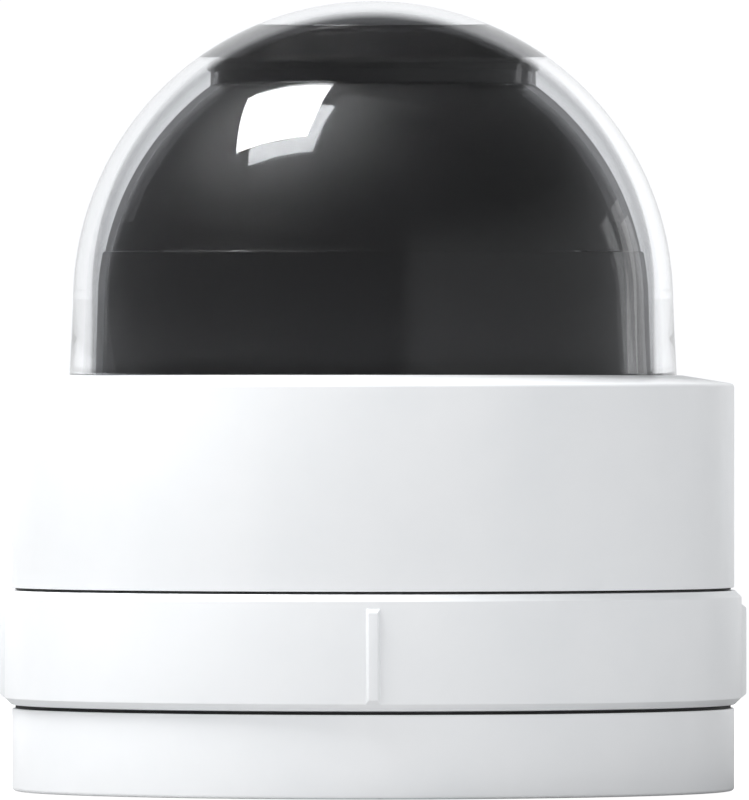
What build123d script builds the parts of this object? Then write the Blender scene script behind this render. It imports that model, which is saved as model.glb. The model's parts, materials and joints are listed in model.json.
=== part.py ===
from build123d import *
from math import atan2, cos, pi, radians, sin, sqrt
import os

os.makedirs("parts", exist_ok=True)

# A pan-tilt-zoom dome camera that stands on its base or screws to a ceiling. Millimetres, +Z up.
# The origin is the centre of the base's underside, and the front notch of the drum faces -Y.

# ---------------------------------------------------------------- driving dimensions
shoulder = 9.0              # base cup and housing beyond the dome, all round
grip_stand = 1.1            # twist-lock grip ring beyond the housing
base_height = 12.2
ring_bottom = 12.73
ring_top = 29.6
housing_bottom = 30.0
housing_rim = 60.1
wall = 2.2                  # housing and base walls
edge_round = 0.5

dome_radius = 44.4          # outside of the clear dome
dome_centre = 72.3
dome_crown_wall = 1.6
dome_skirt_wall = 3.5

cover_wall = 0.95           # smoked turret cover
cap_radius = 24.1           # raised cap on the cover
drum_rim = 83.3             # top edge of the opaque drum
tilt_height = 72.2          # tilt axis above the base
lens_radius = 12.5          # lens barrel
zoom_travel = 6.0
focus_travel = 4.0
filter_travel = 5.5
button_travel = 0.8
lock_angle = 30.0           # turn of the grip ring from locked to open

# Clearances
running = 0.05              # radial, shafts in bores
slip = 0.4                  # between large turning shells
part_gap = 0.2              # between neighbouring fixed pieces
cap_gap = 0.3               # raised cap to dome
seal_gap = 0.15             # crown seal to dome
cell_gap = 1.0              # between the sliding lens cells
zoom_end_gap = 5.2          # zoom cell at full travel to front lens

# ---------------------------------------------------------------- derived shells
dome_skirt_top = dome_centre - 10.6
dome_skirt_radius = dome_radius + 0.5
dome_inner_radius = dome_radius - (dome_crown_wall + dome_skirt_wall) / 2 - 0.25
dome_inner_centre = dome_centre + dome_radius - dome_crown_wall - dome_inner_radius
dome_inner_skirt = dome_inner_radius - 0.2

cover_centre = tilt_height - 0.9
cover_radius = dome_inner_radius - 1.2
cover_inner = cover_radius - cover_wall
cover_step = 0.35
cover_step_height = cover_centre + 8.0
cover_skirt_radius = cover_radius + 0.67
cap_sphere = dome_inner_radius - cap_gap
cap_centre = dome_inner_centre
cap_crown = cap_centre + cap_sphere

drum_radius = cover_inner - 0.25
ball_radius = cover_radius - 3.1
drum_inner = ball_radius + 0.6
ball_wall = 1.9
ball_inner = ball_radius - ball_wall
ball_split = tilt_height - 8.0
ball_face = tilt_height + 0.858 * ball_radius

body_radius = dome_radius + shoulder    # base cup and housing
ring_radius = body_radius + grip_stand  # twist-lock grip ring
collar_radius = body_radius - 1.8       # bayonet spigot and housing collar
collar_inner = collar_radius - 3.2
neck_radius = collar_radius - 1.2
housing_inner = body_radius - wall
dome_hole = dome_skirt_radius + 0.4
flange_top = housing_rim - 1.6
flange_bottom = flange_top - 2.0
flange_radius = dome_skirt_radius + 2.6
roof_underside = flange_top + 0.8

chassis_bottom = 24.0
chassis_top = 27.0
board_bottom = 8.5
board_top = 10.1
drum_floor = 31.0
base_floor = 2.5


# ---------------------------------------------------------------- helpers
def across(height, centre, radius):
    """Radius of a sphere's circle at a height."""
    return sqrt(radius**2 - (height - centre) ** 2)


def above(reach, centre, radius):
    """Height of a sphere's surface at a distance from its axis, on the upper half."""
    return centre + sqrt(radius**2 - reach**2)


def below(reach, centre, radius):
    """Height of a sphere's surface at a distance from its axis, on the lower half."""
    return centre - sqrt(radius**2 - reach**2)


def sphere_arc(start, end, centre, radius):
    """Arc of a sphere's outline between two (radius, height) points, in a radial sketch."""
    first = atan2(start[0], start[1] - centre)
    last = atan2(end[0], end[1] - centre)
    middle = (first + last) / 2
    return ThreePointArc(start, (radius * sin(middle), centre + radius * cos(middle)), end)


def radial_plane(angle):
    """Plane that holds the Z axis, with its x direction at an angle about Z."""
    turn = radians(angle)
    return Plane(origin=(0, 0, 0), x_dir=(cos(turn), sin(turn), 0), z_dir=(sin(turn), -cos(turn), 0))


def turn_outline(points, start=0, sweep=360, mode=Mode.ADD):
    """Revolve a closed (radius, height) outline about Z in the part being built."""
    with BuildSketch(radial_plane(start)) as outline:
        with BuildLine():
            Polyline(*points, close=True)
        make_face()
    revolve(outline.sketch, axis=Axis.Z, revolution_arc=sweep, mode=mode)


def ring(outer, inner, low, high, mode=Mode.ADD):
    """Plain ring about Z in the part being built."""
    turn_outline([(inner, low), (outer, low), (outer, high), (inner, high)], mode=mode)


def round_spots(reach, count, start=0):
    """(x, y) points evenly spaced on a circle about Z."""
    step = 360 / count
    turns = [radians(start + step * index) for index in range(count)]
    return [(reach * cos(turn), reach * sin(turn)) for turn in turns]


def rods(spots, radius, low, high, mode=Mode.ADD):
    """Upright cylinders at (x, y) spots in the part being built."""
    with BuildSketch(Plane.XY.offset(low)) as discs:
        with Locations(*spots):
            Circle(radius)
    extrude(discs.sketch, amount=high - low, mode=mode)


def block(size_x, size_y, low, high, centre=(0, 0), mode=Mode.ADD):
    """Upright block in the part being built."""
    with BuildSketch(Plane.XY.offset(low)) as face:
        with Locations(centre):
            Rectangle(size_x, size_y)
    extrude(face.sketch, amount=high - low, mode=mode)


def side_plane(reach, centre_y=0, centre_z=tilt_height):
    """Plane square to X at x = reach, with its x direction along +Y and its y direction up."""
    return Plane(origin=(reach, centre_y, centre_z), x_dir=(0, 1, 0), z_dir=(1, 0, 0))


def side_rod(radius, low, high, bore=0.0, centre_y=0, mode=Mode.ADD):
    """Cylinder along X from x = low to x = high, with an optional bore."""
    with BuildSketch(side_plane(low, centre_y)) as disc:
        Circle(radius)
        if bore:
            Circle(bore, mode=Mode.SUBTRACT)
    extrude(disc.sketch, amount=high - low, mode=mode)


def screws(spots, low, high, radius, head_radius, head_height, head_up=True):
    """Cylinder-head screws, a separate solid at each (x, y) spot, with a hexagon socket."""
    head_low, head_high = (high - head_height, high) if head_up else (low, low + head_height)
    rods(spots, radius, low, high)
    rods(spots, head_radius, head_low, head_high)
    socket_low = head_high - head_height / 2 if head_up else head_low
    with BuildSketch(Plane.XY.offset(socket_low)) as sockets:
        with Locations(*spots):
            RegularPolygon(head_radius * 0.5, 6)
    extrude(sockets.sketch, amount=head_height / 2, mode=Mode.SUBTRACT)


def tooth_points(teeth, module, phase=0.0):
    """Outline of a spur gear with straight flanks: four points for each tooth."""
    pitch = teeth * module / 2
    tip, root = pitch + 0.8 * module, pitch - 1.1 * module
    step = 2 * pi / teeth
    points = []
    for index in range(teeth):
        middle = step * index + radians(phase)
        for reach, half in ((root, 0.33), (tip, 0.11), (tip, -0.11), (root, -0.33)):
            turn = middle - half * step
            points.append((reach * cos(turn), reach * sin(turn)))
    return points


def gear(plane, teeth, module, width, bore, phase=0.0):
    """Spur gear on a plane in the part being built."""
    with BuildSketch(plane) as face:
        with BuildLine():
            Polyline(*tooth_points(teeth, module, phase), close=True)
        make_face()
        if bore:
            Circle(bore, mode=Mode.SUBTRACT)
    extrude(face.sketch, amount=width)


def finish(part, label):
    """Label a finished piece and write it to its own file."""
    part.label = label
    export_step(part, f"parts/{label}.step")


# ---------------------------------------------------------------- base cup
mount_circle = 70.0         # circle of the four mounting screws
mount_hole = 2.3
cable_hole = 10.0
lug_low, lug_high = 15.0, 17.0
lug_reach = collar_radius - 0.7
lug_sweep = 16.0
groove_gap = 1.0            # degrees left at each end of a bayonet groove
spigot_top = 21.0
button_spot = (0.0, 24.0)
button_radius = 2.4

with BuildPart() as base_cup:
    turn_outline([
        (0, 0), (body_radius - edge_round, 0), (body_radius, edge_round), (body_radius, base_height),
        (collar_radius, base_height), (collar_radius, spigot_top), (collar_inner, spigot_top),
        (collar_inner, base_floor), (0, base_floor),
    ])
    rods([(0, 0)], cable_hole, 0, base_floor, mode=Mode.SUBTRACT)
    rods(round_spots(mount_circle / 2, 4, 45), mount_hole + 2.2, base_floor, base_floor + 1.5)
    rods(round_spots(mount_circle / 2, 4, 45), mount_hole, 0, base_floor + 1.5, mode=Mode.SUBTRACT)
    rods([button_spot], button_radius + 0.2, 0, base_floor, mode=Mode.SUBTRACT)
    groove = [
        (lug_reach - slip, lug_low - slip), (collar_radius + 1, lug_low - slip),
        (collar_radius + 1, lug_high + slip), (lug_reach - slip, lug_high + slip),
    ]
    entry = [
        (lug_reach - slip, lug_low - slip), (collar_radius + 1, lug_low - slip),
        (collar_radius + 1, spigot_top + 1), (lug_reach - slip, spigot_top + 1),
    ]
    for index in range(4):
        locked = 90 * index + 45 - lug_sweep / 2
        turn_outline(groove, locked - groove_gap, lug_sweep + lock_angle + 2 * groove_gap, Mode.SUBTRACT)
        turn_outline(entry, locked + lock_angle - groove_gap, lug_sweep + 2 * groove_gap, Mode.SUBTRACT)
finish(base_cup.part, "base_cup")

# ---------------------------------------------------------------- cable grommet
lead_bore = 4.0
with BuildPart() as cable_grommet:
    turn_outline([
        (lead_bore, 0.4), (cable_hole, 0.4), (cable_hole, base_floor), (cable_hole + 1.5, base_floor),
        (cable_hole + 1.5, base_floor + 1.2), (lead_bore + 2, base_floor + 1.2), (lead_bore, base_floor),
    ])
finish(cable_grommet.part, "cable_grommet")

# ---------------------------------------------------------------- seals of the grip ring
seal_edge = body_radius - edge_round
with BuildPart() as lower_seal:
    ring(seal_edge, collar_radius, base_height, ring_bottom - 0.13)
finish(lower_seal.part, "lower_seal")

with BuildPart() as upper_seal:
    ring(seal_edge, neck_radius, housing_bottom - 0.25, housing_bottom)
finish(upper_seal.part, "upper_seal")

# ---------------------------------------------------------------- grip ring
ring_chamfer = 1.0
ring_inner = collar_radius + slip
rib_tip = ring_radius + 0.7
rib_root = ring_radius - 0.3
rib_foot, rib_flat = 2.4, 1.33
rib_low, rib_high = 13.5, 27.8
rib_bevel = 0.8
flange_height = 27.2        # top of the housing's collar flange

with BuildPart() as lock_ring:
    turn_outline([
        (ring_inner, ring_bottom), (ring_radius - ring_chamfer, ring_bottom),
        (ring_radius, ring_bottom + ring_chamfer), (ring_radius, ring_top - ring_chamfer),
        (ring_radius - ring_chamfer, ring_top), (neck_radius + slip, ring_top),
        (neck_radius + slip, flange_height + 0.3), (ring_inner, flange_height + 0.3),
    ])
    lug = [
        (lug_reach, lug_low), (ring_inner + 0.5, lug_low - 0.5),
        (ring_inner + 0.5, lug_high + 0.5), (lug_reach, lug_high),
    ]
    for index in range(4):
        turn_outline(lug, 90 * index + 45 - lug_sweep / 2, lug_sweep)
    for index in range(4):
        turn = radians(90 * index)
        outward = (cos(turn), sin(turn), 0)
        foot = Plane(
            origin=(rib_root * cos(turn), rib_root * sin(turn), (rib_low + rib_high) / 2),
            x_dir=(-sin(turn), cos(turn), 0), z_dir=outward,
        )
        with BuildSketch(foot):
            Rectangle(rib_foot, rib_high - rib_low)
        with BuildSketch(foot.offset(rib_tip - ring_radius + 0.3)):
            Rectangle(rib_flat, rib_high - rib_low - 2 * rib_bevel)
        loft()
finish(lock_ring.part, "lock_ring")

# ---------------------------------------------------------------- housing shell
lug_circle = collar_inner - 3.2         # lugs that carry the chassis plate
clamp_circle = housing_inner - 1.6      # bosses for the dome's clamp screws
with BuildPart() as housing_shell:
    turn_outline([
        (collar_inner, spigot_top + 0.2), (collar_radius, spigot_top + 0.2),
        (collar_radius, flange_height), (neck_radius, flange_height), (neck_radius, housing_bottom),
        (body_radius - edge_round, housing_bottom), (body_radius, housing_bottom + edge_round),
        (body_radius, housing_rim - edge_round), (body_radius - edge_round, housing_rim),
        (dome_hole + 0.5, housing_rim + 1.3), (dome_hole, housing_rim + 1.0), (dome_hole, roof_underside),
        (housing_inner - 0.5, roof_underside), (housing_inner, roof_underside - 0.5),
        (housing_inner, housing_bottom + wall), (collar_inner, housing_bottom + wall),
    ])
    rods(round_spots(lug_circle, 4, 45), 3.4, chassis_top, housing_bottom + wall)
    rods(round_spots(lug_circle, 4, 45), 1.2, chassis_top, housing_bottom, mode=Mode.SUBTRACT)
    rods(round_spots(clamp_circle, 6, 30), 1.7, flange_bottom, roof_underside)
    rods(round_spots(clamp_circle, 6, 30), 0.8, flange_bottom, roof_underside, mode=Mode.SUBTRACT)
finish(housing_shell.part, "housing_shell")

# ---------------------------------------------------------------- clear dome, gasket and clamp
with BuildPart() as clear_dome:
    outer_top, inner_top = (0, dome_centre + dome_radius), (0, dome_inner_centre + dome_inner_radius)
    outer_side, inner_side = (dome_radius, dome_centre), (dome_inner_radius, dome_inner_centre)
    with BuildSketch(Plane.XZ):
        with BuildLine():
            Line(inner_top, outer_top)
            sphere_arc(outer_top, outer_side, dome_centre, dome_radius)
            Polyline(
                outer_side, (dome_skirt_radius, dome_skirt_top), (dome_skirt_radius, flange_top),
                (flange_radius, flange_top), (flange_radius, flange_bottom),
                (dome_inner_skirt, flange_bottom), inner_side,
            )
            sphere_arc(inner_side, inner_top, dome_inner_centre, dome_inner_radius)
        make_face()
    revolve(axis=Axis.Z)
finish(clear_dome.part, "clear_dome")

with BuildPart() as dome_gasket:
    ring(flange_radius, dome_skirt_radius + 0.05, flange_top, roof_underside)
finish(dome_gasket.part, "dome_gasket")

clamp_bottom = flange_bottom - 2.5
with BuildPart() as dome_clamp_ring:
    ring(housing_inner - part_gap, dome_inner_skirt + 0.4, clamp_bottom, flange_bottom)
    rods(round_spots(clamp_circle, 6, 30), 0.8, clamp_bottom, flange_bottom, mode=Mode.SUBTRACT)
finish(dome_clamp_ring.part, "dome_clamp_ring")

with BuildPart() as dome_clamp_screws:
    screws(
        round_spots(clamp_circle, 6, 30), clamp_bottom - 1.1, roof_underside, 0.78, 1.45, 1.1, head_up=False,
    )
finish(dome_clamp_screws.part, "dome_clamp_screws")

# ---------------------------------------------------------------- chassis plate
bearing_outer, bearing_bore, bearing_low, bearing_high = 16.0, 10.0, 20.0, 27.0
pan_module, pan_teeth, pinion_teeth = 0.6, 90, 15
motor_spot = ((pan_teeth + pinion_teeth) * pan_module / 2, 0.0)
standoff_spots = round_spots(39.0, 4, 20)
with BuildPart() as chassis_plate:
    rods([(0, 0)], collar_inner - 0.5, chassis_bottom, chassis_top)
    rods([(0, 0)], bearing_outer + 3, bearing_low - 0.5, chassis_bottom)
    rods([(0, 0)], bearing_outer, bearing_low, bearing_high, mode=Mode.SUBTRACT)
    rods([(0, 0)], bearing_outer - 1.6, bearing_low - 0.5, bearing_low, mode=Mode.SUBTRACT)
    rods([motor_spot], 6.0, chassis_bottom, chassis_top, mode=Mode.SUBTRACT)
    rods(round_spots(lug_circle, 4, 45), 1.3, chassis_bottom, chassis_top, mode=Mode.SUBTRACT)
    rods(standoff_spots, 1.2, chassis_bottom, chassis_top, mode=Mode.SUBTRACT)
    turn_outline([(33, chassis_bottom), (40, chassis_bottom), (40, chassis_top), (33, chassis_top)],
                 160, 40, Mode.SUBTRACT)
finish(chassis_plate.part, "chassis_plate")

with BuildPart() as chassis_screws:
    screws(
        round_spots(lug_circle, 4, 45), chassis_bottom - 1.6, housing_bottom - 0.3, 1.18, 2.2, 1.6,
        head_up=False,
    )
finish(chassis_screws.part, "chassis_screws")

# ---------------------------------------------------------------- main board and what it carries
board_radius = collar_inner - 4.4
with BuildPart() as board_standoffs:
    rods(standoff_spots, 2.4, board_top, chassis_bottom)
    rods(standoff_spots, 1.15, chassis_bottom, chassis_top)
    rods(standoff_spots, 1.1, board_top, board_top + 5, mode=Mode.SUBTRACT)
finish(board_standoffs.part, "board_standoffs")

with BuildPart() as main_board:
    rods([(0, 0)], board_radius, board_bottom, board_top)
    rods([(0, 0)], 8.0, board_bottom, board_top, mode=Mode.SUBTRACT)
    rods(standoff_spots, 1.2, board_bottom, board_top, mode=Mode.SUBTRACT)
finish(main_board.part, "main_board")

with BuildPart() as board_screws:
    screws(standoff_spots, board_bottom - 1.5, board_top + 4, 1.08, 2.1, 1.5, head_up=False)
finish(board_screws.part, "board_screws")

processor_spot = (-24.0, 0.0)
with BuildPart() as image_processor:
    block(14, 14, board_top, board_top + 1.4, processor_spot)
finish(image_processor.part, "image_processor")

with BuildPart() as heat_spreader:
    block(16, 16, board_top + 1.4, board_top + 3.0, processor_spot)
    for index in range(5):
        fin_spot = (processor_spot[0] - 7 + 3.5 * index, processor_spot[1])
        block(1.2, 16, board_top + 3.0, board_top + 8.0, fin_spot)
finish(heat_spreader.part, "heat_spreader")

with BuildPart() as board_capacitors:
    rods([(-8, -28), (2, -29), (-17, -25)], 3.1, board_top, board_top + 8)
finish(board_capacitors.part, "board_capacitors")

header_spots = [(8.0, 29.0), (-10.0, 29.0), (18.0, -27.0)]
with BuildPart() as board_headers:
    for spot in header_spots:
        block(12, 5, board_top, board_top + 5.5, spot)
        block(10, 3.4, board_top + 1.5, board_top + 5.5, spot, mode=Mode.SUBTRACT)
finish(board_headers.part, "board_headers")

with BuildPart() as reset_switch:
    block(6, 6, board_bottom - 2.2, board_bottom, button_spot)
finish(reset_switch.part, "reset_switch")

button_top = board_bottom - 2.2 - button_travel - 0.2
with BuildPart() as reset_button:
    rods([button_spot], button_radius, 0.6, button_top)
    rods([button_spot], button_radius + 1.1, base_floor + 0.05, base_floor + 0.9)
finish(reset_button.part, "reset_button")

# ---------------------------------------------------------------- pan motor and its pinion
motor_radius, motor_height, shaft_radius = 11.5, 11.5, 1.0
with BuildPart() as pan_motor:
    rods([motor_spot], motor_radius, chassis_bottom - motor_height, chassis_bottom)
    rods([motor_spot], 4.5, chassis_bottom, chassis_bottom + 1.2)
    rods([motor_spot], shaft_radius + running, chassis_bottom - 8, chassis_bottom + 1.2, mode=Mode.SUBTRACT)
finish(pan_motor.part, "pan_motor")

gear_low, gear_high = drum_floor - 2.8, drum_floor
with BuildPart() as pan_pinion:
    pinion_plane = Plane.XY.offset(gear_low + 0.2).move(Location(Vector(*motor_spot, 0)))
    gear(pinion_plane, pinion_teeth, pan_module, 2.4, 0)
    rods([motor_spot], shaft_radius, chassis_bottom - 7.5, gear_low + 0.2)
    rods([motor_spot], 2.6, chassis_bottom + 1.5, gear_low + 0.2)
finish(pan_pinion.part, "pan_pinion")

# ---------------------------------------------------------------- pan bearing
ball_track = (bearing_outer + bearing_bore) / 2
track_middle = (bearing_low + bearing_high) / 2
bearing_ball = 1.75
with BuildPart() as pan_bearing_outer:
    ring(bearing_outer, ball_track + 1.1, bearing_low, bearing_high)
    with BuildSketch(Plane.XZ) as track:
        with Locations((ball_track, track_middle)):
            Circle(bearing_ball + running)
    revolve(track.sketch, axis=Axis.Z, mode=Mode.SUBTRACT)
finish(pan_bearing_outer.part, "pan_bearing_outer")

with BuildPart() as pan_bearing_inner:
    ring(ball_track - 1.1, bearing_bore, bearing_low, bearing_high)
    with BuildSketch(Plane.XZ) as track:
        with Locations((ball_track, track_middle)):
            Circle(bearing_ball + running)
    revolve(track.sketch, axis=Axis.Z, mode=Mode.SUBTRACT)
finish(pan_bearing_inner.part, "pan_bearing_inner")

with BuildPart() as pan_bearing_balls:
    with Locations(*[(x, y, track_middle) for x, y in round_spots(ball_track, 14)]):
        Sphere(bearing_ball)
finish(pan_bearing_balls.part, "pan_bearing_balls")

# ---------------------------------------------------------------- slip ring
with BuildPart() as slip_ring_stator:
    rods([(0, 0)], 6.0, board_top + 0.2, bearing_low - 1.5)
    rods([(0, 0)], 7.6, board_top, board_top + 1.2)
    rods([(0, 0)], 4.2, board_top + 2, bearing_low - 1.5, mode=Mode.SUBTRACT)
finish(slip_ring_stator.part, "slip_ring_stator")

with BuildPart() as slip_ring_rotor:
    rods([(0, 0)], 4.2 - running, board_top + 2.2, bearing_high + 2)
    rods([(0, 0)], 6.3, bearing_low + 1, bearing_high + 2)
    rods([(0, 0)], 2.0, board_top + 4, bearing_high + 2, mode=Mode.SUBTRACT)
finish(slip_ring_rotor.part, "slip_ring_rotor")

# ---------------------------------------------------------------- turret hub
hub_flange = 18.8
drum_screw_spots = round_spots(14.5, 3, 90)
with BuildPart() as turret_hub:
    turn_outline([
        (6.5, bearing_low - 0.3), (bearing_bore, bearing_low - 0.3), (bearing_bore, bearing_high),
        (bearing_bore + 1.2, bearing_high), (bearing_bore + 1.2, gear_low + 0.4),
        (hub_flange, gear_low + 0.4), (hub_flange, drum_floor), (6.5, drum_floor),
    ])
    rods(drum_screw_spots, 1.2, gear_low, drum_floor, mode=Mode.SUBTRACT)
finish(turret_hub.part, "turret_hub")

with BuildPart() as bearing_clip:
    ring(bearing_bore + 1.4, 6.6, bearing_low - 1.1, bearing_low - 0.3)
finish(bearing_clip.part, "bearing_clip")

with BuildPart() as pan_gear:
    gear(Plane.XY.offset(gear_low), pan_teeth, pan_module, gear_high - gear_low, hub_flange + 0.2)
finish(pan_gear.part, "pan_gear")

# ---------------------------------------------------------------- turret drum
window_half = 21.0          # half width of the opening that the lens looks out of
notch_top, notch_bottom, notch_depth = 1.6, 1.1, 4.3
ledge_low, ledge_high = flange_bottom - 2.3, flange_bottom - 0.3
ledge_radius = cover_skirt_radius
pin_radius = 3.0
floor_radius = 25.0
with BuildPart() as turret_drum:
    rim_outer = (across(drum_rim, cover_centre, drum_radius), drum_rim)
    rim_inner = (across(drum_rim, tilt_height, drum_inner), drum_rim)
    ledge_top = (across(ledge_high, cover_centre, drum_radius), ledge_high)
    ledge_foot = (across(ledge_low, cover_centre, drum_radius), ledge_low)
    foot = (20.0, below(20.0, cover_centre, drum_radius))
    inner_foot = (7.0, below(7.0, tilt_height, drum_inner))
    with BuildSketch(Plane.XZ):
        with BuildLine():
            Line(rim_inner, rim_outer)
            sphere_arc(rim_outer, ledge_top, cover_centre, drum_radius)
            Polyline(ledge_top, (ledge_radius, ledge_high), (ledge_radius, ledge_low), ledge_foot)
            sphere_arc(ledge_foot, foot, cover_centre, drum_radius)
            Polyline(foot, (floor_radius, 33.0), (floor_radius, drum_floor), (7.0, drum_floor), inner_foot)
            sphere_arc(inner_foot, rim_inner, tilt_height, drum_inner)
        make_face()
    revolve(axis=Axis.Z)
    # Opening on the +Y side for the tilted lens, open at the top and closed below by the ledge
    with BuildSketch(Plane.XZ.offset(-20)) as opening:
        with Locations((0, tilt_height)):
            Circle(window_half)
        with Locations((0, tilt_height + 10)):
            Rectangle(2 * window_half, 20)
        with Locations((0, ledge_high + 0.3 - 10)):
            Rectangle(4 * window_half, 20, mode=Mode.SUBTRACT)
    extrude(opening.sketch, amount=-30, mode=Mode.SUBTRACT)
    # Parking notch for the ball's guide rib
    with BuildSketch(Plane.XZ.offset(20)) as notch:
        with BuildLine():
            Polyline(
                (-notch_top / 2, drum_rim + 1), (notch_top / 2, drum_rim + 1),
                (notch_bottom / 2, drum_rim - notch_depth), (-notch_bottom / 2, drum_rim - notch_depth),
                close=True,
            )
        make_face()
    extrude(notch.sketch, amount=30, mode=Mode.SUBTRACT)
    side_rod(pin_radius, -drum_radius - 1, drum_radius + 1, mode=Mode.SUBTRACT)
    rods(drum_screw_spots, 1.2, drum_floor, drum_floor + 6, mode=Mode.SUBTRACT)
finish(turret_drum.part, "turret_drum")

with BuildPart() as drum_screws:
    screws(drum_screw_spots, gear_low - 0.6, drum_floor + 2.6, 1.15, 1.9, 1.0, head_up=False)
finish(drum_screws.part, "drum_screws")

# ---------------------------------------------------------------- smoked turret cover
cover_bottom = ledge_high
cap_wall = 1.8
cap_corner = (cap_radius, above(cap_radius, cap_centre, cap_sphere))
cap_foot = (cap_radius, above(cap_radius, cover_centre, cover_radius))
cap_inner = cap_radius - 1.0
crown_in, crown_out = 16.4, cap_radius + 0.6
groove_depth = 0.5
with BuildPart() as turret_cover:
    crown = (0, cap_crown)
    band_radius = cover_radius + cover_step
    step_top = (across(cover_step_height, cover_centre, cover_radius), cover_step_height)
    step_foot = (across(cover_step_height, cover_centre, band_radius), cover_step_height)
    band_low = (across(cover_centre + 1.5, cover_centre, band_radius), cover_centre + 1.5)
    inside_low = (cover_inner, cover_centre)
    inside_cap = (cap_inner, above(cap_inner, cover_centre, cover_inner))
    cap_under = (cap_inner, above(cap_inner, cap_centre, cap_sphere - cap_wall))
    under_crown = (0, cap_crown - cap_wall)
    with BuildSketch(Plane.XZ):
        with BuildLine():
            Line(under_crown, crown)
            sphere_arc(crown, cap_corner, cap_centre, cap_sphere)
            Line(cap_corner, cap_foot)
            sphere_arc(cap_foot, step_top, cover_centre, cover_radius)
            Line(step_top, step_foot)
            sphere_arc(step_foot, band_low, cover_centre, band_radius)
            Polyline(
                band_low, (cover_skirt_radius, dome_skirt_top), (cover_skirt_radius - 0.15, cover_bottom),
                (drum_radius + 0.3, cover_bottom), inside_low,
            )
            sphere_arc(inside_low, inside_cap, cover_centre, cover_inner)
            Line(inside_cap, cap_under)
            sphere_arc(cap_under, under_crown, cap_centre, cap_sphere - cap_wall)
        make_face()
    revolve(axis=Axis.Z)
    # Seat of the crown seal, round the cap's shoulder
    seat_in = (crown_in, above(crown_in, cap_centre, cap_sphere - groove_depth))
    seat_out = (cap_radius, above(cap_radius, cap_centre, cap_sphere - groove_depth))
    with BuildSketch(Plane.XZ) as seat:
        with BuildLine():
            sphere_arc(seat_in, seat_out, cap_centre, cap_sphere - groove_depth)
            Polyline(seat_out, (cap_radius + 3, seat_out[1]), (cap_radius + 3, cap_crown + 1),
                     (crown_in, cap_crown + 1), seat_in)
        make_face()
    revolve(seat.sketch, axis=Axis.Z, mode=Mode.SUBTRACT)
finish(turret_cover.part, "turret_cover")

with BuildPart() as crown_seal:
    top_sphere = dome_inner_radius - seal_gap
    top_in = (crown_in, above(crown_in, dome_inner_centre, top_sphere))
    top_out = (crown_out, above(crown_out, dome_inner_centre, top_sphere))
    with BuildSketch(Plane.XZ) as seal:
        with BuildLine():
            sphere_arc(top_in, top_out, dome_inner_centre, top_sphere)
            Polyline(top_out, (crown_out, seat_out[1]), seat_out)
            sphere_arc(seat_out, seat_in, cap_centre, cap_sphere - groove_depth)
            Line(seat_in, top_in)
        make_face()
    revolve(seal.sketch, axis=Axis.Z)
finish(crown_seal.part, "crown_seal")

sweep_radius = ball_radius + 1.1        # nothing on the turret comes nearer to the tilt centre
mask_in, mask_out = 16.0, cap_inner - 0.15
with BuildPart() as cap_mask:
    mask_top = cap_sphere - cap_wall - 0.05
    high_in = (mask_in, above(mask_in, cap_centre, mask_top))
    high_out = (mask_out, above(mask_out, cap_centre, mask_top))
    low_out = (mask_out, above(mask_out, tilt_height, sweep_radius))
    low_in = (mask_in, above(mask_in, tilt_height, sweep_radius))
    with BuildSketch(Plane.XZ) as mask:
        with BuildLine():
            sphere_arc(high_in, high_out, cap_centre, mask_top)
            Line(high_out, low_out)
            sphere_arc(low_out, low_in, tilt_height, sweep_radius)
            Line(low_in, high_in)
        make_face()
    revolve(mask.sketch, axis=Axis.Z)
finish(cap_mask.part, "cap_mask")

# ---------------------------------------------------------------- tilt pivots
bush_outer = pin_radius + 1.5
bush_face = ball_inner - 4.2            # inner end of each tilt bush
sun_teeth, tilt_pinion_teeth, tilt_module = 36, 12, 0.5
gear_face = bush_face - 0.4             # outer face of the tilt gear
gear_width = 2.6
with BuildPart() as left_pivot_pin:
    side_rod(pin_radius, -drum_radius + 0.15, -gear_face + gear_width, bore=1.2)
finish(left_pivot_pin.part, "left_pivot_pin")

with BuildPart() as right_pivot_pin:
    side_rod(pin_radius, gear_face, drum_radius - 0.15, bore=1.2)
finish(right_pivot_pin.part, "right_pivot_pin")

with BuildPart() as tilt_gear:
    # A tooth faces the motor, on the -Y side
    gear(side_plane(-gear_face), sun_teeth, tilt_module, gear_width, pin_radius)
finish(tilt_gear.part, "tilt_gear")

# ---------------------------------------------------------------- camera ball
rib_bottom, rib_top = drum_rim - 3.0, drum_rim + 4.8
rib_width, rib_proud = 0.8, 0.7
bush_boss = bush_outer + 2.6
join_circle = ball_inner - 5.4
join_spots = round_spots(join_circle, 4, 45)
join_seat = ball_split - 6.2            # screw head seat in the lower shell
window_seat, window_ledge = 1.4, 0.4
window_radius = across(ball_face - window_seat, tilt_height, ball_inner) + window_ledge
bracket_top = tilt_height - 12.0
bracket_bottom = bracket_top - 2.0
bracket_radius = across(bracket_bottom, tilt_height, ball_inner) - 0.6
bracket_circle = bracket_radius - 2.6
bracket_spots = [spot for spot in round_spots(bracket_circle, 6, 60) if abs(spot[1]) > 1]
board_shelf = ball_face - 6.2           # LED board seat


def post_top(reach):
    """Height at which a post at a distance from Z ends inside the wall of the ball's upper half."""
    return above(reach + 0.6, tilt_height, ball_inner)


with BuildPart() as ball_hollow:
    with Locations((0, 0, tilt_height)):
        Sphere(ball_radius)
        Sphere(ball_inner, mode=Mode.SUBTRACT)

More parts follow.
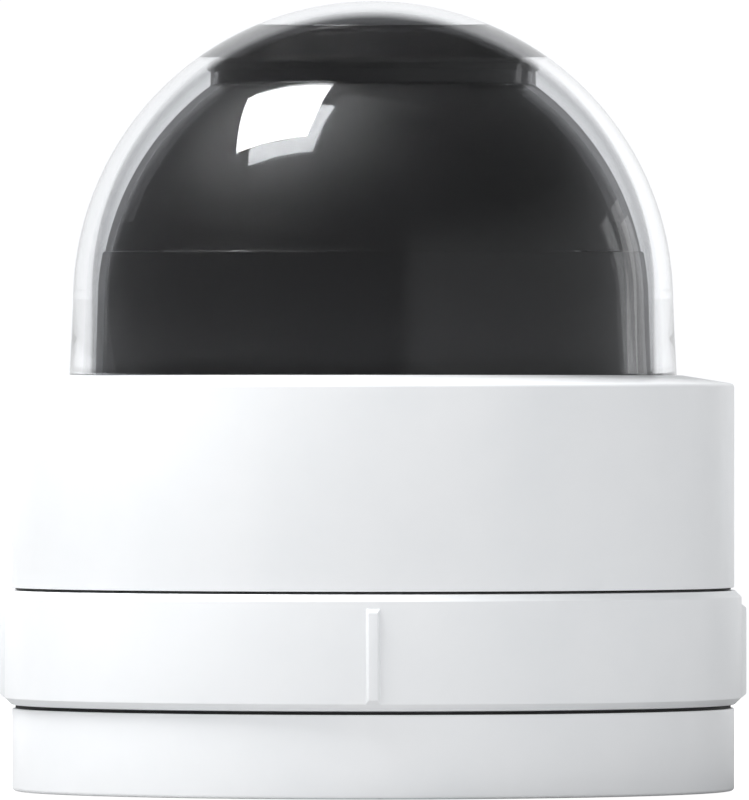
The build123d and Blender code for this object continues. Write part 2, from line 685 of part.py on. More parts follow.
with BuildPart() as ball_upper_shell:
    add(ball_hollow.part)
    split(bisect_by=Plane.XY.offset(ball_split), keep=Keep.TOP)
    split(bisect_by=Plane.XY.offset(ball_face), keep=Keep.BOTTOM)
    rods([(0, 0)], window_radius, ball_face - window_seat, ball_face + 1, mode=Mode.SUBTRACT)
    ring(across(board_shelf, tilt_height, ball_inner) + 0.8, 18.9, board_shelf - 1.2, board_shelf)
    for side in (-1, 1):
        low, high = sorted((side * (bush_face + 0.8), side * (ball_radius - 1.0)))
        side_rod(bush_boss, low, high)
        low, high = sorted((side * (bush_face - 1), side * (ball_radius + 1)))
        side_rod(bush_outer, low, high, mode=Mode.SUBTRACT)
    rods(join_spots, 2.4, ball_split, post_top(join_circle))
    rods(join_spots, 1.1, ball_split, ball_split + 9, mode=Mode.SUBTRACT)
    rods(bracket_spots, 2.2, bracket_top, post_top(bracket_circle))
    rods(bracket_spots, 1.0, bracket_top, bracket_top + 9, mode=Mode.SUBTRACT)
    # Guide rib on the -Y side
    with BuildSketch(Plane.XY.offset(rib_bottom)) as rib:
        with Locations((0, -ball_radius / 2 - 8)):
            Rectangle(rib_width, ball_radius - 16)
    rib_block = extrude(rib.sketch, amount=rib_top - rib_bottom, mode=Mode.PRIVATE)
    rib_limit = Pos(0, 0, tilt_height) * Sphere(ball_radius + rib_proud, mode=Mode.PRIVATE)
    rib_core = Pos(0, 0, tilt_height) * Sphere(ball_radius - 0.5, mode=Mode.PRIVATE)
    add((rib_block & rib_limit) - rib_core)
finish(ball_upper_shell.part, "ball_upper_shell")

with BuildPart() as ball_lower_shell:
    add(ball_hollow.part)
    split(bisect_by=Plane.XY.offset(ball_split), keep=Keep.BOTTOM)
    # Lip that locates the upper shell, inside the joint
    lip = across(ball_split + 1.5, tilt_height, ball_inner) - 0.7
    lip_foot = across(ball_split - 2.5, tilt_height, ball_inner) + 0.4
    turn_outline([(lip - 0.6, ball_split - 2.5), (lip_foot, ball_split - 2.5), (lip_foot, ball_split - 0.8),
                  (lip, ball_split - 0.8), (lip, ball_split + 0.8), (lip - 0.6, ball_split + 0.8)])
    rods(join_spots, 4.2, ball_split - 0.1, ball_split + 2, mode=Mode.SUBTRACT)
    rods(bracket_spots, 4.2, ball_split - 0.1, ball_split + 2, mode=Mode.SUBTRACT)
    rods(join_spots, 2.6, join_seat - 2, ball_split)
    rods(join_spots, 1.2, join_seat - 2, ball_split, mode=Mode.SUBTRACT)
    rods(join_spots, 2.1, tilt_height - ball_radius, join_seat, mode=Mode.SUBTRACT)
finish(ball_lower_shell.part, "ball_lower_shell")

with BuildPart() as ball_screws:
    screws(join_spots, join_seat - 1.4, ball_split + 8, 1.08, 2.0, 1.4, head_up=False)
finish(ball_screws.part, "ball_screws")

bush_end = across(bush_outer, 0, ball_radius) - 0.25
with BuildPart() as tilt_bushes:
    side_rod(bush_outer, -bush_end, -bush_face, bore=pin_radius + running)
    side_rod(bush_outer, bush_face, bush_end, bore=pin_radius + running)
finish(tilt_bushes.part, "tilt_bushes")

# ---------------------------------------------------------------- tilt motor
tilt_motor_y = -(sun_teeth + tilt_pinion_teeth) * tilt_module / 2
tilt_motor_radius, tilt_motor_length = 6.5, 10.6
tilt_plate = -gear_face + gear_width + 0.8      # outer face of the motor bracket's plate
tilt_plate_wall = 1.2
plate_half = 5.5
tilt_shaft = 0.8
with BuildPart() as tilt_motor:
    motor_face = tilt_plate + tilt_plate_wall
    motor_end = motor_face + tilt_motor_length
    side_rod(tilt_motor_radius, motor_face, motor_end, tilt_shaft + running, tilt_motor_y)
finish(tilt_motor.part, "tilt_motor")

with BuildPart() as tilt_motor_bracket:
    with BuildSketch(side_plane(tilt_plate, tilt_motor_y)) as plate:
        with Locations((0, -(tilt_height - bracket_top) / 2 + 3)):
            Rectangle(2 * plate_half, tilt_height - bracket_top + 6)
        Circle(2.2, mode=Mode.SUBTRACT)
    extrude(plate.sketch, amount=tilt_plate_wall)
    block(6, 2 * plate_half, bracket_top, bracket_top + 1.2, (tilt_plate + 3, tilt_motor_y))
finish(tilt_motor_bracket.part, "tilt_motor_bracket")

with BuildPart() as tilt_pinion:
    # A gap between its teeth faces the tilt gear
    gear(side_plane(-gear_face + 0.1, tilt_motor_y), tilt_pinion_teeth, tilt_module, gear_width - 0.2, 0,
         phase=180 / tilt_pinion_teeth)
    side_rod(tilt_shaft, -gear_face + gear_width - 0.1, motor_face + 8, centre_y=tilt_motor_y)
finish(tilt_pinion.part, "tilt_pinion")

# ---------------------------------------------------------------- camera module
barrel_bore = lens_radius - 1.7
barrel_top = ball_face - 4.0
lens_seat = barrel_top - 5.0            # underside of the front lens
frame_side, frame_height = 22.0, 5.4
with BuildPart() as camera_bracket:
    rods([(0, 0)], bracket_radius, bracket_bottom, bracket_top)
    rods([(0, 0)], barrel_bore, bracket_bottom, bracket_top, mode=Mode.SUBTRACT)
    rods(join_spots, 3.1, bracket_bottom, bracket_top, mode=Mode.SUBTRACT)
    rods(bracket_spots, 1.1, bracket_bottom, bracket_top, mode=Mode.SUBTRACT)
finish(camera_bracket.part, "camera_bracket")

with BuildPart() as bracket_screws:
    screws(bracket_spots, bracket_bottom - 1.2, bracket_top + 6, 0.98, 1.9, 1.2, head_up=False)
finish(bracket_screws.part, "bracket_screws")

with BuildPart() as lens_barrel:
    turn_outline([
        (barrel_bore, bracket_top), (lens_radius + 3, bracket_top), (lens_radius + 3, bracket_top + 1.8),
        (lens_radius, bracket_top + 1.8), (lens_radius, barrel_top), (barrel_bore + 0.4, barrel_top),
        (barrel_bore + 0.4, lens_seat), (barrel_bore, lens_seat),
    ])
finish(lens_barrel.part, "lens_barrel")

lens_sphere = 27.0
with BuildPart() as front_lens:
    lens_edge = barrel_bore + 0.35
    lens_crown = barrel_top - 0.4
    lens_rim = (lens_edge, above(lens_edge, lens_crown - lens_sphere, lens_sphere))
    with BuildSketch(Plane.XZ):
        with BuildLine():
            sphere_arc((0, lens_crown), lens_rim, lens_crown - lens_sphere, lens_sphere)
            Polyline(lens_rim, (lens_edge, lens_seat), (0, lens_seat), (0, lens_crown))
        make_face()
    revolve(axis=Axis.Z)
finish(front_lens.part, "front_lens")


def lens_cell(low, length, glass_radius):
    """Sliding cell of the lens with its glass between two rims, in the part being built."""
    high = low + length
    turn_outline([
        (0, low + 2.6), (glass_radius, low + 1.8), (glass_radius, low), (barrel_bore - 0.3, low),
        (barrel_bore - 0.3, high), (glass_radius, high), (glass_radius, high - 1.4), (0, high - 0.7),
    ])


focus_low, focus_length = bracket_top + 2.8, 6.0
zoom_low = focus_low + focus_length + focus_travel + cell_gap
zoom_length = lens_seat - zoom_end_gap - zoom_travel - zoom_low
with BuildPart() as focus_group:
    lens_cell(focus_low, focus_length, 6.5)
finish(focus_group.part, "focus_group")

with BuildPart() as zoom_group:
    lens_cell(zoom_low, zoom_length, 7.5)
finish(zoom_group.part, "zoom_group")

filter_length, filter_width = 13.0, 9.4
filter_low, filter_high = bracket_bottom - 2.6, bracket_bottom - 1.2
with BuildPart() as filter_frame:
    block(frame_side, frame_side, bracket_bottom - frame_height, bracket_bottom)
    block(7, 7, bracket_bottom - frame_height, bracket_bottom, mode=Mode.SUBTRACT)
    block(14, 14, bracket_bottom - frame_height, bracket_bottom - 3.4, mode=Mode.SUBTRACT)
    block(frame_side + 2, filter_width + 0.4, filter_low - 0.2, filter_high + 0.2, mode=Mode.SUBTRACT)
finish(filter_frame.part, "filter_frame")

with BuildPart() as ir_cut_filter:
    block(filter_length, filter_width, filter_low, filter_high, (-filter_travel / 2, 0))
finish(ir_cut_filter.part, "ir_cut_filter")

sensor_level = bracket_bottom - frame_height
with BuildPart() as sensor_board:
    block(24, 24, sensor_level - 1.2, sensor_level)
finish(sensor_board.part, "sensor_board")

with BuildPart() as image_sensor:
    block(9, 8, sensor_level, sensor_level + 1.2)
finish(image_sensor.part, "image_sensor")

# ---------------------------------------------------------------- infrared light and window
with BuildPart() as led_board:
    ring(20.0, lens_radius + 0.5, board_shelf, board_shelf + 1.2)
finish(led_board.part, "led_board")

led_radius = 1.5
led_top = ball_face - window_seat - 0.3
led_spots = round_spots(16.4, 8, 22.5)
with BuildPart() as infrared_leds:
    rods(led_spots, led_radius, board_shelf + 1.2, led_top - led_radius)
    with Locations(*[(x, y, led_top - led_radius) for x, y in led_spots]):
        Sphere(led_radius)
finish(infrared_leds.part, "infrared_leds")

with BuildPart() as light_baffle:
    ring(lens_radius + 0.6, lens_radius - 1.0, barrel_top, ball_face - window_seat - 0.05)
finish(light_baffle.part, "light_baffle")

with BuildPart() as front_window:
    rods([(0, 0)], window_radius - running, ball_face - window_seat, ball_face - 0.2)
finish(front_window.part, "front_window")
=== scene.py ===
import json
import math

import bpy
import bmesh
from mathutils import Matrix, Vector


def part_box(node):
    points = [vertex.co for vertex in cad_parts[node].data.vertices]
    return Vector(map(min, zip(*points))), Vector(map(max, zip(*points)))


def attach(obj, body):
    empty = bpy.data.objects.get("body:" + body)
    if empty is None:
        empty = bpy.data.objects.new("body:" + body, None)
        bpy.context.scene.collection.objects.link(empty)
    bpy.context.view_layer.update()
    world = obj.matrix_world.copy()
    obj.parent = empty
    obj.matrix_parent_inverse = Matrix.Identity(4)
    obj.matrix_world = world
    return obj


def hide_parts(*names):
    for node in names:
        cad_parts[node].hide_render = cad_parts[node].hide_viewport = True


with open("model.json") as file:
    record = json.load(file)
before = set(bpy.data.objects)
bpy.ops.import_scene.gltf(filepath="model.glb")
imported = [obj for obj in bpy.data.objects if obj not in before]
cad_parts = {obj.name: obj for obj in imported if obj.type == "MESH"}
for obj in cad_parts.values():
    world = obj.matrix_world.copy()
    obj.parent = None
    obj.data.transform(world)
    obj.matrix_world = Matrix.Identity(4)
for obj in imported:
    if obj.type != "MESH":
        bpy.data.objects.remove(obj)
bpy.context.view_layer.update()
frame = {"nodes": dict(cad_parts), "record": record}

MM = 0.001

# ------------------------------------------------ sizes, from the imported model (millimetres)


def span(node):
    """Lowest and highest corner of a CAD node, in millimetres."""
    low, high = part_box(node)
    return low / MM, high / MM


base_high = span("base_cup")[1]
ring_low, ring_high = span("lock_ring")
shell_low, shell_high = span("housing_shell")
dome_low, dome_high = span("clear_dome")
cover_low, cover_high = span("turret_cover")

body_radius = base_high.x
collar_radius = body_radius - 1.8           # collar that the grip ring turns on
collar_inner = collar_radius - 3.2
neck_radius = collar_radius - 1.2
base_rim = span("lower_seal")[0].z          # top of the base cup's outer wall
housing_bottom = ring_high.z + 0.4          # reveal line above the grip ring
ring_radius = body_radius + 1.1

dome_radius = 44.4
dome_centre = dome_high.z - dome_radius
dome_skirt = dome_radius + 0.5
dome_skirt_top = dome_centre - 10.6
dome_crown_wall = 1.6
inner_radius = dome_radius - 2.8
inner_centre = dome_high.z - dome_crown_wall - inner_radius
flange_radius = dome_high.x
flange_low = dome_low.z

cover_centre = 71.3
cover_radius = inner_radius - 1.2
cap_radius = 24.1
cap_sphere = inner_radius - 0.3             # the cap follows the dome's inside at a small gap
cap_centre = cover_high.z - cap_sphere
seat_sphere = cap_sphere - 0.5              # groove of the crown seal
crown_in = 16.4                             # inner edge of that groove

POLE = 1e-3                                 # how close an arc comes to the axis before the point on it

# ------------------------------------------------ materials


class Nodes:
    """Short calls for building a node tree. A value is a number, or another node's output."""

    def __init__(self, tree):
        self.tree = tree

    def node(self, kind, **inputs):
        made = self.tree.nodes.new(kind)
        for key, value in inputs.items():
            made.inputs[key.replace("_", " ")].default_value = value
        return made

    def link(self, source, target):
        self.tree.links.new(source, target)

    def maths(self, operation, *values, clamp=False):
        """Result of a Math node."""
        made = self.node("ShaderNodeMath")
        made.operation = operation
        made.use_clamp = clamp
        for value, socket in zip(values, made.inputs):
            if isinstance(value, float):
                socket.default_value = value
            else:
                self.link(value, socket)
        return made.outputs[0]

    def ramp(self, source, start, end, low=0.0, high=1.0):
        """Go from low to high while the source goes from start to end."""
        made = self.node("ShaderNodeMapRange", From_Min=start, From_Max=end, To_Min=low, To_Max=high)
        self.link(source, made.inputs["Value"])
        return made.outputs["Result"]

    def blend(self, factor, first, second):
        """Go from a first value to a second number by a factor."""
        made = self.node("ShaderNodeMix")
        self.link(factor, made.inputs["Factor"])
        self.link(first, made.inputs["A"])
        made.inputs["B"].default_value = second
        return made.outputs[0]

    def axes(self, source):
        """X, Y and Z of a vector."""
        made = self.node("ShaderNodeSeparateXYZ")
        self.link(source, made.inputs[0])
        return made.outputs


class Shader(Nodes):
    """A Principled material with its node tree."""

    def __init__(self, name, **inputs):
        self.material = bpy.data.materials.new(name)
        self.material.use_nodes = True
        super().__init__(self.material.node_tree)
        self.bsdf = self.tree.nodes["Principled BSDF"]
        for key, value in inputs.items():
            self.bsdf.inputs[key.replace("_", " ")].default_value = value

    def feed(self, source, target):
        """Link an output to an input of the shader."""
        self.link(source, self.bsdf.inputs[target])

    def place(self):
        return self.node("ShaderNodeTexCoord").outputs["Object"]

    def noise(self, scale, detail=2.0, roughness=0.5, stretch=(1, 1, 1)):
        """Noise of a given number of features for each metre."""
        mapping = self.node("ShaderNodeMapping", Scale=stretch)
        self.link(self.place(), mapping.inputs["Vector"])
        made = self.node("ShaderNodeTexNoise", Scale=scale, Detail=detail, Roughness=roughness)
        self.link(mapping.outputs[0], made.inputs["Vector"])
        return made.outputs["Fac"]

    def spread(self, source, low, high, target):
        """Map noise to a range and feed it to an input of the shader."""
        self.feed(self.ramp(source, 0.3, 0.7, low, high), target)

    def tint(self, source, first, second, start=0.3, end=0.7):
        """Go from one base colour to another while the source goes from start to end."""
        made = self.node("ShaderNodeValToRGB")
        for stop, position, colour in zip(made.color_ramp.elements, (start, end), (first, second)):
            stop.position = position
            stop.color = (*colour, 1)
        self.link(source, made.inputs["Fac"])
        self.feed(made.outputs["Color"], "Base Color")

    def bump(self, source, strength, depth):
        """Raise the surface by noise, depth in millimetres."""
        made = self.node("ShaderNodeBump", Strength=strength, Distance=depth * MM)
        self.link(source, made.inputs["Height"])
        self.feed(made.outputs["Normal"], "Normal")


def plastic(name, first, second, rough, grain, grain_depth=0.01, **inputs):
    """Moulded plastic or rubber: two near tones, uneven gloss and a fine moulded grain."""
    made = Shader(name, **inputs)
    made.tint(made.noise(60, 3), first, second)
    made.spread(made.noise(400, 4), rough[0], rough[1], "Roughness")
    made.bump(made.noise(grain, 3, 0.6), 0.35, grain_depth)
    return made.material


def metal(name, first, second, rough, stretch=(1, 1, 1), grain=2500):
    """Metal with a fine turned, brushed or blasted grain."""
    made = Shader(name, Metallic=1.0)
    made.tint(made.noise(120, 3), first, second)
    made.spread(made.noise(grain, 4, 0.6, stretch), rough[0], rough[1], "Roughness")
    made.bump(made.noise(grain, 4, 0.6, stretch), 0.25, 0.008)
    return made.material


def clear(name, first, second, ior, rough=0.0):
    """Clear moulding or glass, with a faint unevenness of tone."""
    made = Shader(name, Roughness=rough, IOR=ior, Transmission_Weight=1.0)
    made.tint(made.noise(35, 2), first, second)
    return made.material


def smoked(name, skirt, crown, low, high):
    """Smoked moulding with a soft sheen. Its tint deepens towards its thick crown, between two heights."""
    made = Shader(name, Roughness=0.0, IOR=1.49, Transmission_Weight=1.0, Coat_Weight=1.0,
                  Coat_Roughness=0.38)
    height = made.axes(made.place())["Z"]
    made.tint(made.ramp(height, low * MM, high * MM), skirt, crown, 0.0, 1.0)
    return made.material


def board(name, first, second, track):
    """Circuit board: solder mask over a faint grid of copper tracks."""
    made = Shader(name)
    brick = made.node("ShaderNodeTexBrick", Scale=420.0, Color1=(*first, 1), Color2=(*second, 1),
                      Mortar=(*track, 1), Mortar_Size=0.06)
    made.link(made.place(), brick.inputs["Vector"])
    made.feed(brick.outputs["Color"], "Base Color")
    made.spread(made.noise(500, 3), 0.3, 0.45, "Roughness")
    made.bump(brick.outputs["Fac"], 0.3, 0.02)
    return made.material


white = plastic("white_moulding", (0.80, 0.815, 0.83), (0.83, 0.84, 0.852), (0.30, 0.38), 5200, 0.006)
black = plastic("black_moulding", (0.010, 0.010, 0.011), (0.014, 0.014, 0.015), (0.36, 0.46), 5200, 0.008,
                Specular_IOR_Level=0.9)
gloss_black = plastic("black_ball", (0.010, 0.010, 0.011), (0.013, 0.013, 0.014), (0.48, 0.54), 5200, 0.005,
                      Specular_IOR_Level=1.0)
rubber = plastic("black_rubber", (0.008, 0.008, 0.008), (0.014, 0.014, 0.014), (0.6, 0.75), 3200, 0.02)
soft_grey = plastic("grey_seal", (0.05, 0.05, 0.052), (0.075, 0.075, 0.077), (0.45, 0.6), 3200, 0.01)
acetal = plastic("natural_acetal", (0.72, 0.71, 0.67), (0.78, 0.77, 0.73), (0.35, 0.45), 4000, 0.01)
epoxy = plastic("moulded_epoxy", (0.015, 0.015, 0.016), (0.03, 0.03, 0.03), (0.4, 0.55), 6000, 0.01)
cell = plastic("lens_cell", (0.012, 0.012, 0.014), (0.02, 0.02, 0.024), (0.3, 0.45), 5200, 0.006)
aluminium = metal("blasted_aluminium", (0.62, 0.63, 0.65), (0.70, 0.71, 0.73), (0.32, 0.48))
steel = metal("plated_steel", (0.50, 0.50, 0.52), (0.62, 0.62, 0.64), (0.22, 0.36), (1, 1, 12))
brass = metal("turned_brass", (0.66, 0.48, 0.20), (0.75, 0.57, 0.27), (0.2, 0.34), (1, 1, 10))
anodised = metal("black_anodised", (0.02, 0.02, 0.022), (0.035, 0.035, 0.04), (0.3, 0.42), (1, 1, 8))
tin = metal("capacitor_can", (0.5, 0.5, 0.52), (0.6, 0.6, 0.62), (0.25, 0.4))
clear_acrylic = clear("clear_acrylic", (0.985, 0.99, 1.0), (0.975, 0.985, 0.998), 1.49)
smoked_silicone = clear("clear_silicone", (0.86, 0.86, 0.865), (0.84, 0.84, 0.845), 1.49)
window = clear("window_glass", (0.90, 0.93, 0.95), (0.88, 0.92, 0.94), 1.5)
coated = clear("coated_lens", (0.75, 0.80, 0.95), (0.70, 0.78, 0.95), 1.6)
resin = clear("led_resin", (0.85, 0.86, 0.95), (0.80, 0.82, 0.92), 1.5, 0.05)
filter_glass = clear("filter_glass", (0.45, 0.75, 0.80), (0.40, 0.70, 0.78), 1.5)
smoke = smoked("smoked_polycarbonate", (0.32, 0.32, 0.325), (0.15, 0.15, 0.152),
               cap_centre + 0.8 * cap_sphere, cap_centre + 0.815 * cap_sphere)
sensor = plastic("sensor_die", (0.03, 0.04, 0.07), (0.05, 0.03, 0.07), (0.08, 0.14), 9000, 0.002)
green_board = board("green_board", (0.012, 0.10, 0.045), (0.015, 0.12, 0.055), (0.03, 0.2, 0.09))
white_board = board("white_board", (0.70, 0.70, 0.68), (0.74, 0.74, 0.72), (0.6, 0.6, 0.55))

by_slot = {
    "white_shell": white, "clear_dome": clear_acrylic, "smoked_cover": smoke, "black_plastic": black,
    "ball_black": gloss_black, "black_rubber": rubber, "grey_rubber": soft_grey, "black_anodised": anodised,
    "aluminium": aluminium, "steel": steel, "brass": brass, "natural_acetal": acetal,
    "circuit_board": green_board, "white_board": white_board, "chip_black": epoxy, "capacitor_can": tin,
    "led_resin": resin, "lens_cell": cell, "lens_glass": coated, "window_glass": window,
    "sensor_glass": sensor, "filter_glass": filter_glass,
}
for row in frame["record"]["subparts"]:
    node = frame["nodes"][row["node"]]
    node.data.materials.clear()
    node.data.materials.append(by_slot[row["material_slot"]])

# ------------------------------------------------ mesh helpers


def arc(centre, radius, start, end, steps):
    """Points (radius, height) of a circle that has its centre on the axis, between two heights."""
    first = math.acos(max(-1, min(1, (start - centre) / radius)))
    last = math.acos(max(-1, min(1, (end - centre) / radius)))
    turns = [first + (last - first) * index / steps for index in range(steps + 1)]
    return [(radius * math.sin(turn), centre + radius * math.cos(turn)) for turn in turns]


def soften(points, steps=5):
    """Round the corners of a closed outline of (radius, height) or (radius, height, rounding) points."""
    made = []
    count = len(points)
    for index, point in enumerate(points):
        here = Vector(point[:2])
        if len(point) < 3:
            made.append(tuple(here))
            continue
        before = (Vector(points[index - 1][:2]) - here).normalized()
        after = (Vector(points[(index + 1) % count][:2]) - here).normalized()
        half = before.angle(after) / 2
        reach = point[2] / math.tan(half)
        centre = here + (before + after).normalized() * (point[2] / math.sin(half))
        start, end = here + before * reach - centre, here + after * reach - centre
        sweep = start.angle_signed(end)
        for step in range(steps + 1):
            turn = -sweep * step / steps
            made.append((
                centre.x + start.x * math.cos(turn) - start.y * math.sin(turn),
                centre.y + start.x * math.sin(turn) + start.y * math.cos(turn),
            ))
    return made


def spin(name, outline, segments=256):
    """Closed mesh of a (radius, height) outline turned about Z, outline in millimetres."""
    mesh = bpy.data.meshes.new(name)
    shape = bmesh.new()
    rings = []
    for r, z in outline:
        if r < 1e-6:
            rings.append([shape.verts.new((0, 0, z * MM))])
            continue
        turns = [2 * math.pi * index / segments for index in range(segments)]
        rings.append([shape.verts.new((r * math.cos(t) * MM, r * math.sin(t) * MM, z * MM)) for t in turns])
    for index, low in enumerate(rings):
        high = rings[(index + 1) % len(rings)]
        if len(low) == 1 and len(high) == 1:
            continue
        for k in range(segments):
            after = (k + 1) % segments
            if len(low) == 1:
                shape.faces.new((low[0], high[after], high[k]))
            elif len(high) == 1:
                shape.faces.new((low[k], low[after], high[0]))
            else:
                shape.faces.new((low[k], low[after], high[after], high[k]))
    bmesh.ops.recalc_face_normals(shape, faces=shape.faces)
    for face in shape.faces:
        face.smooth = True
    shape.to_mesh(mesh)
    shape.free()
    mesh.set_sharp_from_angle(angle=math.radians(28))
    piece = bpy.data.objects.new(name, mesh)
    bpy.context.scene.collection.objects.link(piece)
    return piece


def dress(piece, material, body, node):
    """Give a piece its material, its body and the CAD node that it stands for."""
    piece.data.materials.clear()
    piece.data.materials.append(material)
    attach(piece, body)
    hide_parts(node)


def join(piece, others):
    """Put other meshes into a piece as loose shells of it."""
    shape = bmesh.new()
    shape.from_mesh(piece.data)
    for other in others:
        shape.from_mesh(other.data)
        bpy.data.objects.remove(other)
    shape.to_mesh(piece.data)
    shape.free()


def apply_modifiers(piece):
    """Make a piece's modifiers part of its mesh."""
    graph = bpy.context.evaluated_depsgraph_get()
    mesh = bpy.data.meshes.new_from_object(piece.evaluated_get(graph))
    piece.modifiers.clear()
    piece.data = mesh


def drill(piece, spots, radius, low, high):
    """Cut upright holes through a piece, millimetres."""
    cutter = bpy.data.meshes.new("drill")
    shape = bmesh.new()
    for x, y in spots:
        made = bmesh.ops.create_cone(shape, cap_ends=True, segments=64, radius1=radius * MM,
                                     radius2=radius * MM, depth=(high - low) * MM)
        bmesh.ops.translate(shape, verts=made["verts"], vec=(x * MM, y * MM, (low + high) / 2 * MM))
    shape.to_mesh(cutter)
    shape.free()
    tool = bpy.data.objects.new("drill", cutter)
    bpy.context.scene.collection.objects.link(tool)
    modifier = piece.modifiers.new("holes", "BOOLEAN")
    modifier.operation = "DIFFERENCE"
    modifier.solver = "EXACT"
    modifier.object = tool
    bpy.context.view_layer.update()
    apply_modifiers(piece)
    bpy.data.objects.remove(tool)
    piece.data.set_sharp_from_angle(angle=math.radians(28))


# ------------------------------------------------ base cup
def make_base():
    """White cup with the grommet's bore, four screw holes and the hole of the reset button."""
    floor = 2.5
    grommet_bore = 9.99
    cup = spin("base_cup_skin", soften([
        (grommet_bore, 0, 0.1), (body_radius, 0, 0.5), (body_radius, base_rim, 0.18),
        (collar_radius, base_rim), (collar_radius, base_high.z, 0.3),
        (collar_inner, base_high.z, 0.3), (collar_inner, floor, 0.6), (grommet_bore, floor),
    ]))
    screw_circle, screw_hole = 35.0, 2.3
    reset_place, reset_hole = 24, 2.6
    turns = [math.radians(45 + 90 * index) for index in range(4)]
    spots = [(screw_circle * math.cos(turn), screw_circle * math.sin(turn)) for turn in turns]
    drill(cup, spots, screw_hole, -1, 2 * floor)
    drill(cup, [(0, reset_place)], reset_hole, -1, 2 * floor)
    dress(cup, white, "base", "base_cup")


# ------------------------------------------------ grip ring
def make_rib(turn):
    """One grip rib: a low bar with bevelled flanks and ends."""
    shape = bmesh.new()
    rounding = 0.14
    half_foot, half_flat = 1.2, 0.665
    low, high, bevel = 13.5, 27.8, 0.8
    foot, tip = ring_radius - 0.3, ring_high.x
    rows = []
    for reach, half, inset in ((foot, half_foot, 0.0), (tip, half_flat, bevel)):
        corners = ((-half, low + inset), (half, low + inset), (half, high - inset), (-half, high - inset))
        rows.append([shape.verts.new((reach * MM, across * MM, z * MM)) for across, z in corners])
    shape.faces.new(rows[1])
    shape.faces.new(list(reversed(rows[0])))
    for k in range(4):
        after = (k + 1) % 4
        shape.faces.new((rows[0][k], rows[0][after], rows[1][after], rows[1][k]))
    bmesh.ops.recalc_face_normals(shape, faces=shape.faces)
    tips = [edge for edge in shape.edges if any(vert in rows[1] for vert in edge.verts)]
    bmesh.ops.bevel(shape, geom=tips, offset=rounding * MM, segments=3, profile=0.5, affect="EDGES")
    for face in shape.faces:
        face.smooth = True
    bmesh.ops.rotate(shape, verts=shape.verts, cent=(0, 0, 0),
                     matrix=Matrix.Rotation(turn, 3, "Z"))
    mesh = bpy.data.meshes.new("rib")
    shape.to_mesh(mesh)
    shape.free()
    rib = bpy.data.objects.new("rib", mesh)
    bpy.context.scene.collection.objects.link(rib)
    return rib


def make_grip_ring():
    """Twist-lock ring with a bevel at each edge and four grip ribs."""
    inner = collar_radius + 0.4
    lip = neck_radius + 0.4
    ledge = 27.5
    bevel = 1.0
    low, high = ring_low.z, ring_high.z
    ring = spin("grip_ring", soften([
        (inner, low, 0.15), (ring_radius - bevel, low, 0.2), (ring_radius, low + bevel, 0.25),
        (ring_radius, high - bevel, 0.25), (ring_radius - bevel, high, 0.2), (lip, high, 0.15),
        (lip, ledge), (inner, ledge),
    ]))
    join(ring, [make_rib(math.radians(90 * index)) for index in range(4)])
    ring.data.set_sharp_from_angle(angle=math.radians(40))
    dress(ring, white, "lock_ring", "lock_ring")


# ------------------------------------------------ housing
def make_housing():
    """White shell whose top slopes a little up to the hole of the dome."""
    flange = 27.2
    wall = 2.2
    rim = shell_high.z - 1.3
    lip = 0.8
    hole = dome_skirt + 0.4
    skin = spin("housing_skin", soften([
        (collar_inner, shell_low.z), (collar_radius, shell_low.z), (collar_radius, flange),
        (neck_radius, flange), (neck_radius, housing_bottom), (body_radius, housing_bottom, 0.15),
        (body_radius, rim, 0.7), (hole, shell_high.z, 0.35), (hole, rim - lip),
        (body_radius - wall, rim - lip), (body_radius - wall, housing_bottom + wall),
        (collar_inner, housing_bottom + wall),
    ]))
    dress(skin, white, "base", "housing_shell")


# ------------------------------------------------ clear dome
def make_dome():
    """Clear dome: a sphere on a nearly upright skirt, with a flange under the housing's top."""
    flange_top = flange_low + 2.0
    draft, draft_height = 0.25, 5           # the skirt leans in by its draft towards the sphere
    outline = [(0, dome_high.z)]
    outline += arc(dome_centre, dome_radius, dome_high.z - POLE, dome_centre, 96)
    outline += [(dome_skirt - draft, dome_skirt_top + draft_height), (dome_skirt, dome_skirt_top),
                (dome_skirt, flange_top), (flange_radius, flange_top), (flange_radius, flange_low),
                (inner_radius - 0.2, flange_low)]
    outline += arc(inner_centre, inner_radius, inner_centre, inner_centre + inner_radius - POLE, 96)
    outline += [(0, inner_centre + inner_radius)]
    dome = spin("clear_dome_shell", outline, 288)
    dress(dome, clear_acrylic, "base", "clear_dome")


# ------------------------------------------------ smoked turret cover
def above(reach, centre, radius):
    """Height of a sphere's surface at a distance from the axis."""
    return centre + math.sqrt(radius ** 2 - reach ** 2)


def make_cover():
    """Smoked cover: raised cap with a seal groove, thin dome, and a stepped band down to its foot."""
    wall, cap_wall, step = 0.95, 1.8, 0.35
    step_height = cover_centre + 8.0
    foot_draft, seam = 0.15, cap_radius - 1     # the cap's inside meets the thin dome's at the seam
    band = cover_radius + step
    inside = cover_radius - wall
    outline = [(0, cover_high.z)]
    outline += arc(cap_centre, cap_sphere, cover_high.z - POLE, above(crown_in, cap_centre, cap_sphere), 40)
    outline += arc(cap_centre, seat_sphere, above(crown_in, cap_centre, seat_sphere),
                   above(cap_radius, cap_centre, seat_sphere), 24)
    outline += arc(cover_centre, cover_radius, above(cap_radius, cover_centre, cover_radius), step_height, 72)
    outline += arc(cover_centre, band, step_height - 0.15, cover_centre + 1.5, 12)
    outline += [(cover_high.x - 0.02, dome_skirt_top), (cover_high.x - foot_draft, cover_low.z),
                (inside + 0.05, cover_low.z)]
    outline += arc(cover_centre, inside, cover_centre, above(seam, cover_centre, inside), 72)
    under_cap = cap_sphere - cap_wall
    outline += arc(cap_centre, under_cap, above(seam, cap_centre, under_cap),
                   cover_high.z - cap_wall - POLE, 60)
    outline += [(0, cover_high.z - cap_wall)]
    cover = spin("smoked_cover", outline, 288)
    dress(cover, smoke, "turret", "turret_cover")


